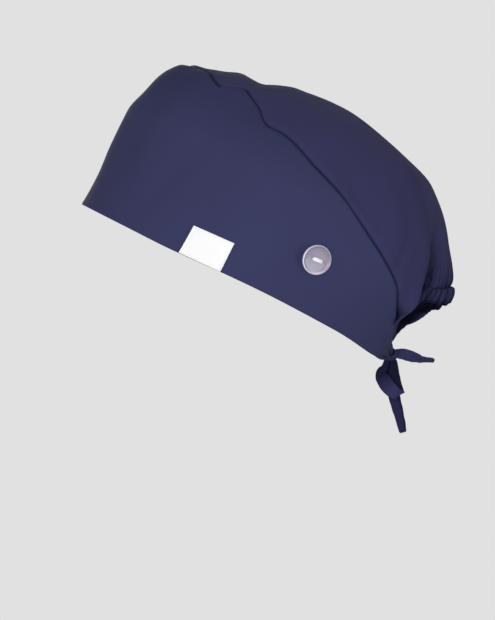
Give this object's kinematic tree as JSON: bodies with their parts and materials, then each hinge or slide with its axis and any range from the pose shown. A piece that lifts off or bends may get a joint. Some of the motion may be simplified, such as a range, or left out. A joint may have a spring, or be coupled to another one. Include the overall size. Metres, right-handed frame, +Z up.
{
  "type": "nurse cap",
  "caption": "Worn scrub cap: tall band round the head, puffed crown, ruched elastic hem and knotted ties at the nape, with a button each side.",
  "frame": {"origin": "the middle of the head opening, where the cap sits on the head", "axes": "+Z up, the wearer faces -Y and their left side is +X; the opening slopes down 26.8 degrees towards +Y"},
  "size_m": [0.164, 0.2239, 0.2202],
  "materials": {
    "band_cloth": "matt navy cotton twill with a faint sheen",
    "crown_cloth": "matt navy cotton twill with a faint sheen",
    "tie_cloth": "matt navy cotton twill, folded and stitched",
    "button_plastic": "glossy, slightly clear grey",
    "button_thread": "matt white thread",
    "label_weave": "white woven tape"
  },
  "bodies": {
    "root": {"band_panel": "band_cloth", "crown_panel": "crown_cloth", "hem_casing": "crown_cloth", "tie_knot": "tie_cloth", "tie_loop": "tie_cloth", "tie_tail_back": "tie_cloth", "tie_tail_down": "tie_cloth", "button_left": "button_plastic", "button_right": "button_plastic", "button_thread_left": "button_thread", "button_thread_right": "button_thread", "label": "label_weave"}
  },
  "joints": []
}
